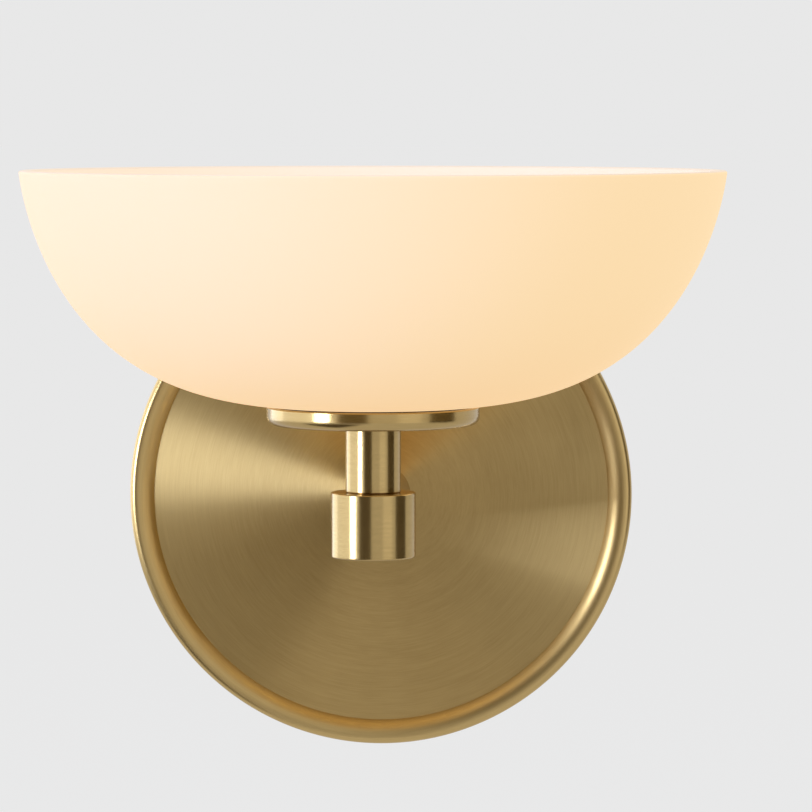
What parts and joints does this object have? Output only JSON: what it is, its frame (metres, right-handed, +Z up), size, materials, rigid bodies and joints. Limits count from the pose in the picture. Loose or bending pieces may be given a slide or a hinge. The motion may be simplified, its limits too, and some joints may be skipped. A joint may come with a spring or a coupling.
{
  "type": "uplighter wall sconce",
  "caption": "Wall uplighter: an open opal glass bowl on a short brass stem, held out from a round dished back plate by a straight arm.",
  "frame": {"origin": "on the wall, at the centre of the bracket's slot pattern, which is the arm's axis", "axes": "+Z up, +Y into the wall, -Y out into the room, +X to the right of someone facing the light"},
  "size_m": [0.165, 0.1825, 0.1466],
  "materials": {
    "plate_brass": "satin aged brass, brushed in circles",
    "tube_brass": "satin aged brass, brushed round the turned parts",
    "bare_brass": "bare machined brass",
    "opal_glass": "satin opal glass, lit from inside",
    "zinc_steel": "zinc-plated steel",
    "dark_steel": "blackened steel",
    "green_steel": "green passivated steel",
    "tinned_copper": "tinned copper",
    "nickel_pins": "nickel-plated wire",
    "black_plastic": "moulded nylon",
    "cap_plastic": "moulded plastic",
    "green_plastic": "moulded plastic",
    "black_insulation": "silicone insulation",
    "white_insulation": "silicone insulation",
    "green_insulation": "silicone insulation",
    "gasket_rubber": "moulded rubber",
    "washer_fibre": "soft silicone washer",
    "holder_ceramic": "glazed steatite ceramic",
    "lamp_ceramic": "white ceramic lamp foot",
    "frosted_lamp": "frosted, lit"
  },
  "bodies": {
    "wall_mount": {"mounting_bracket": "zinc_steel", "ground_screw": "green_steel"},
    "fixture": {"back_plate": "plate_brass", "screw_bosses": "bare_brass", "side_screws": "dark_steel", "ground_terminal": "tinned_copper", "arm_lock_washer": "zinc_steel", "arm_nut": "bare_brass", "arm_pipe": "bare_brass", "pipe_bushing": "black_plastic", "arm_sleeve": "tube_brass", "collar": "tube_brass", "stem_pipe": "bare_brass", "stem_sleeve": "tube_brass", "fitter_cup": "tube_brass", "fitter_sleeve": "bare_brass", "lower_gasket": "gasket_rubber", "holder_bracket": "zinc_steel", "stem_lock_washer": "zinc_steel", "stem_nut": "bare_brass", "holder_screws": "zinc_steel", "lampholder": "holder_ceramic", "lampholder_contacts": "tinned_copper", "live_lead": "black_insulation", "neutral_lead": "white_insulation", "ground_lead": "green_insulation", "live_cap": "cap_plastic", "neutral_cap": "cap_plastic", "ground_cap": "green_plastic"},
    "shade": {"glass_shade": "opal_glass"},
    "clamp_washer": {"upper_washer": "washer_fibre"},
    "clamp_ring": {"shade_ring": "bare_brass"},
    "lamp": {"lamp_base": "lamp_ceramic", "lamp_bulb": "frosted_lamp", "lamp_pins": "nickel_pins"}
  },
  "joints": [
    {"name": "fixture_pull", "type": "slide", "parent": "wall_mount", "child": "fixture", "axis": [0, -1, 0], "range_m": [0, 0.03]},
    {"name": "shade_lift", "type": "slide", "parent": "fixture", "child": "shade", "axis": [0, 0, 1], "range_m": [0, 0.06]},
    {"name": "washer_rise", "type": "slide", "parent": "shade", "child": "clamp_washer", "axis": [0, 0, 1], "range_m": [0, 0.00455]},
    {"name": "ring_turn", "type": "hinge", "parent": "clamp_washer", "child": "clamp_ring", "pos_m": [0, -0.1, 0.035], "axis": [0, 0, 1], "range_deg": [0, 1080]},
    {"name": "lamp_pull", "type": "slide", "parent": "fixture", "child": "lamp", "axis": [0, 0, 1], "range_m": [0, 0.035]}
  ],
  "couplings": [
    {"joint": "washer_rise", "follows": "ring_turn", "m_per_rad": 0.00023873}
  ]
}
